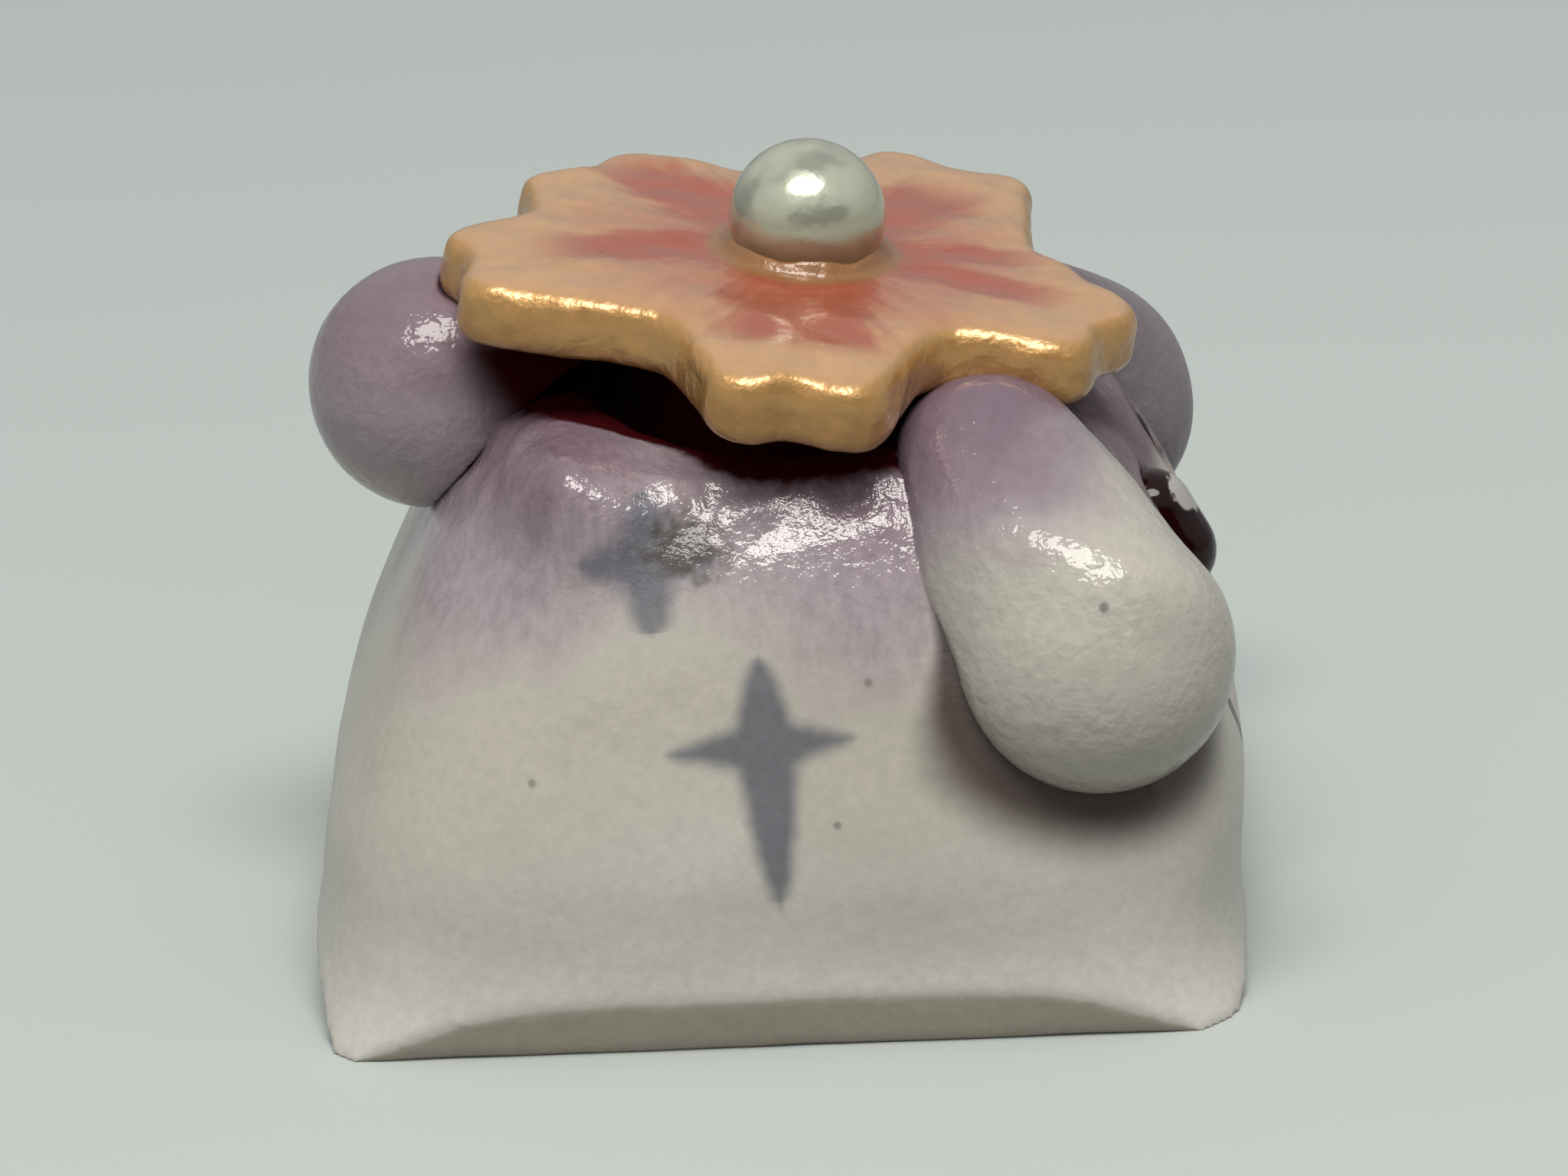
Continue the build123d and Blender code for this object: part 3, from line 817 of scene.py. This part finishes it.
def flowerMaterial(clay):
    # Polymer clay with coral chalk strokes and gold mica rubbed on the edges, under gloss varnish:
    # warm petals with soft glints, a bright broken line along each edge
    material, tree, shader, point = newMaterial("peachClayGoldEdge")
    hairy, hazy, gilt, dust = (clay[name] for name in ("hairs", "hazy", "gilt", "dust"))
    turn = flowerFrame(clay)
    shift = turn @ Vector(clay["seat"])
    spot = addNode(tree, "Mapping", {"Vector": point, "Location": -shift, "Rotation": turn.to_euler()})
    grain = addNode(tree, "TexNoise", {"Vector": point, "Scale": 1 / clay["grain"], "Detail": 3.0})
    patch = addNode(tree, "TexNoise", {"Vector": point, "Scale": 1 / clay["patch"], "Detail": 2.0})
    sway = addNode(tree, "Math", {0: patch, 1: 0.5}, operation="SUBTRACT")
    gather = addNode(tree, "VectorMath", {0: spot, 1: (1, 1, 0)}, operation="MULTIPLY")
    span = addNode(tree, "VectorMath", {0: gather}, out="Value", operation="LENGTH")
    place = addNode(tree, "SeparateXYZ", {0: spot}).node.outputs
    turned = addNode(tree, "Math", {0: place["Y"], 1: place["X"]}, operation="ARCTAN2")
    hairs = addNode(tree, "CombineXYZ", {0: turned, 1: span})
    hairs = addNode(tree, "VectorMath", {0: hairs, 1: hairy["perTurn"]}, operation="MULTIPLY")
    hairs = addNode(tree, "TexNoise", {"Vector": hairs, "Scale": 1.0, "Detail": 3.0, "Roughness": 0.6})
    fray = addNode(tree, "MapRange", {0: hairs, (1, 2): hairy["span"], (3, 4): hairy["fray"]})
    streaks = 0.0
    for stroke in strokes:
        mark = strokeMask(tree, spot, sway, fray, stroke, clay["stroke"])
        streaks = addNode(tree, "Math", {0: streaks, 1: mark}, operation="MAXIMUM")
    streaks = addNode(tree, "Math", {0: streaks, 1: clay["stroke"]["share"]}, operation="MULTIPLY")
    haze = addNode(tree, "Math", {0: sway, 1: hazy["stray"], 2: span}, operation="MULTIPLY_ADD")
    haze = addNode(tree, "MapRange", {0: haze, (1, 2): hazy["edge"], 4: hazy["share"]}, **smooth)
    colour = addNode(tree, "Mix", {0: haze, 6: linear(clay["peach"]), 7: linear(clay["haze"])}, **blend)
    colour = addNode(tree, "Mix", {0: streaks, 6: colour, 7: linear(clay["coral"])}, **blend)
    # gold along the edges, going brown down the wall: painted shade low on the wall
    facing = addNode(tree, "NewGeometry", {}, out="Normal")
    upright = addNode(tree, "VectorMath", {0: facing, 1: turn[2]}, out="Value", operation="DOT_PRODUCT")
    rim = addNode(tree, "MapRange", {0: upright, (1, 2): gilt["facing"]}, **smooth)
    wallShade = addNode(tree, "Math", {0: sway, 1: gilt["ragged"], 2: place["Z"]}, operation="MULTIPLY_ADD")
    wallShade = addNode(tree, "MapRange", {0: wallShade, (1, 2): gilt["wallShade"], 4: gilt["share"]}, **smooth)
    edge = addNode(tree, "Mix", {0: wallShade, 6: linear(clay["gold"]), 7: linear(clay["brown"])}, **blend)
    colour = addNode(tree, "Mix", {0: rim, 6: colour, 7: edge}, **blend)
    ring = addNode(tree, "MapRange", {0: span, (1, 2): clay["collarEdge"]})
    colour = addNode(tree, "Mix", {0: ring, 6: colour, 7: linear(clay["collar"])}, **blend)
    mask = dustMask(tree, point, dust)
    colour = addNode(tree, "Mix", {0: mask, 6: colour, 7: linear(dust["colour"])}, **blend)
    tone = addNode(tree, "MapRange", {0: hairs, (1, 2): hairy["span"], (3, 4): hairy["tone"]})
    colour = addNode(tree, "HueSaturation", {"Value": tone, "Color": colour})
    tone = addNode(tree, "MapRange", {0: grain, (1, 2): noiseSpan, (3, 4): clay["tone"]})
    colour = addNode(tree, "HueSaturation", {"Value": tone, "Color": colour})
    tree.links.new(colour, shader.inputs["Base Color"])
    metal = addNode(
        tree, "Math", {0: ring, 1: -clay["collarDull"], 2: rim}, operation="MULTIPLY_ADD", use_clamp=True
    )
    metal = addNode(tree, "Math", {0: metal, 1: gilt["metal"]}, operation="MULTIPLY")
    tree.links.new(metal, shader.inputs["Metallic"])
    rough = addNode(tree, "MapRange", {0: rim, (3, 4): clay["rough"]})
    rough = addNode(tree, "Math", {0: grain, 1: rough}, operation="MULTIPLY")
    bump = addNode(tree, "Bump", {"Strength": 1.0, "Distance": clay["depth"] * mm, "Height": rough})
    tree.links.new(bump, shader.inputs["Normal"])
    tree.links.new(bump, shader.inputs["Coat Normal"])
    shader.inputs["Roughness"].default_value = 0.36
    shader.inputs["Coat Weight"].default_value = 0.7
    shader.inputs["Coat Roughness"].default_value = 0.16
    return material


flower = handMade("flower", "clayFlower", flowerClay)
sculpt(flower, shapeFlower)
putBack(flower, flowerMaterial(flowerClay))
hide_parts("flower")
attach(flower, "root")

# Bead: a pearly bead set in the flower's collar. Sizes and heights in mm.
pearlBead = {
    "voxel": 0.06, "soften": 8, "dents": [(1.6, 0.012)],
    "pearl": "#dde2c9", "grey": "#aaae9e", "cloud": 1.1, "cloudEdge": (0.36, 0.66),
    "paler": 0.1,                   # paler towards the face, per mm
    # warm low down: a painted reflection of the flower under the bead
    "warm": "#84694b", "warmFade": (14.2, 13.1), "warmShare": 0.8,
    "metal": (0.7, 0.5),            # at the top, and low down
    "pebble": 0.3, "depth": 0.012,
}


def pearlMaterial(bead):
    # Glass bead dipped in pearl lacquer: silvery, clouded, greenish in the light, a hard bright glint, and a
    # painted warm reflection of the flower low down
    material, tree, shader, point = newMaterial("pearlLacquer")
    xyz = addNode(tree, "SeparateXYZ", {0: point}).node.outputs
    cloud = addNode(tree, "TexNoise", {"Vector": point, "Scale": 1 / bead["cloud"], "Detail": 2.0})
    cloud = addNode(tree, "Math", {0: xyz["Y"], 1: bead["paler"], 2: cloud}, operation="MULTIPLY_ADD")
    cloud = addNode(tree, "MapRange", {0: cloud, (1, 2): bead["cloudEdge"]}, **smooth)
    colour = addNode(tree, "Mix", {0: cloud, 6: linear(bead["pearl"]), 7: linear(bead["grey"])}, **blend)
    warm = addNode(tree, "MapRange", {0: xyz["Z"], (1, 2): bead["warmFade"], 4: bead["warmShare"]}, **smooth)
    colour = addNode(tree, "Mix", {0: warm, 6: colour, 7: linear(bead["warm"])}, **blend)
    tree.links.new(colour, shader.inputs["Base Color"])
    metal = addNode(tree, "MapRange", {0: warm, 2: bead["warmShare"], (3, 4): bead["metal"]})
    tree.links.new(metal, shader.inputs["Metallic"])
    pebble = addNode(tree, "TexNoise", {"Vector": point, "Scale": 1 / bead["pebble"], "Detail": 2.0})
    bump = addNode(tree, "Bump", {"Strength": 1.0, "Distance": bead["depth"] * mm, "Height": pebble})
    tree.links.new(bump, shader.inputs["Normal"])
    tree.links.new(bump, shader.inputs["Coat Normal"])
    shader.inputs["Roughness"].default_value = 0.24
    shader.inputs["Coat Weight"].default_value = 1.0
    shader.inputs["Coat Roughness"].default_value = 0.08
    return material


pearl = handMade("pearl", "pearlBead", pearlBead)
putBack(pearl, pearlMaterial(pearlBead))
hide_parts("pearl")
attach(pearl, "root")

# Eyes: dark resin eggs, the left one pressed in deeper. Sizes and places in mm.
eyeBead = {
    "voxel": 0.04, "soften": 4, "dents": [(0.9, 0.01)],
    "way": (0.06, -0.93, 0.37),     # out of the face: aside per mm off the middle, ahead and up
    "dark": "#100304", "glow": "#260809", "cloud": 0.6,
    "dot": "#b4b2ae", "dotSize": 0.47, "dotEdge": 0.08, "dotShare": 0.9, "dotDepth": 0.03,
    "ragged": 0.2, "raggedness": 0.3,
}
eyes = {
    "rightEye": {
        "node": "right_eye", "face": (-2.22, -7.89, 7.55), "thin": 1.0, "sink": -0.13,
        "dot": (-2.2, -8.02, 8.4),
    },
    "leftEye": {
        "node": "left_eye", "face": (2.22, -7.89, 7.55), "thin": 0.12, "sink": 0.14,
        "dot": (2.3, -7.6, 7.95),
    },
}


def eyeMaterial(name, bead, eye):
    # Dark red resin, cured under gloss: nearly black, wet glint, with one pale dot of paint
    material, tree, shader, point = newMaterial(name + "DarkResin")
    cloud = addNode(tree, "TexNoise", {"Vector": point, "Scale": 1 / bead["cloud"], "Detail": 2.0})
    colour = addNode(tree, "Mix", {0: cloud, 6: linear(bead["dark"]), 7: linear(bead["glow"])}, **blend)
    ragged = addNode(tree, "TexNoise", {"Vector": point, "Scale": 1 / bead["ragged"], "Detail": 3.0})
    away = addNode(tree, "VectorMath", {0: point, 1: eye["dot"]}, out="Value", operation="DISTANCE")
    away = addNode(tree, "Math", {0: ragged, 1: bead["raggedness"], 2: away}, operation="MULTIPLY_ADD")
    away = addNode(tree, "Math", {0: away, 1: bead["raggedness"] / 2}, operation="SUBTRACT")
    edge = (bead["dotSize"], bead["dotSize"] - bead["dotEdge"])
    mask = addNode(tree, "MapRange", {0: away, (1, 2): edge, 4: bead["dotShare"]}, **smooth)
    colour = addNode(tree, "Mix", {0: mask, 6: colour, 7: linear(bead["dot"])}, **blend)
    tree.links.new(colour, shader.inputs["Base Color"])
    bump = addNode(tree, "Bump", {"Strength": 1.0, "Distance": bead["dotDepth"] * mm, "Height": mask})
    tree.links.new(bump, shader.inputs["Normal"])
    shader.inputs["Roughness"].default_value = 0.12
    shader.inputs["Specular IOR Level"].default_value = 0.1
    shader.inputs["Coat Weight"].default_value = 0.45
    shader.inputs["Coat Roughness"].default_value = 0.03
    return material


def shapeEye(point, bead, eye):
    # what stands out of the face is pressed thinner, and the whole bead is set in or out
    face = Vector(eye["face"])
    aside, ahead, up = bead["way"]
    out = Vector((face.x * aside, ahead, up)).normalized()
    depth = (point - face).dot(out)
    if depth > 0:
        point = point - out * depth * (1 - eye["thin"])
    return point - out * eye["sink"]


for name, eye in eyes.items():
    bead = handMade(eye["node"], name, eyeBead)
    sculpt(bead, lambda point, normal: shapeEye(point, eyeBead, eye))
    putBack(bead, eyeMaterial(name, eyeBead, eye))
    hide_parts(eye["node"])
    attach(bead, "root")

scene.view_settings.view_transform = "Standard"
print("stage: done")
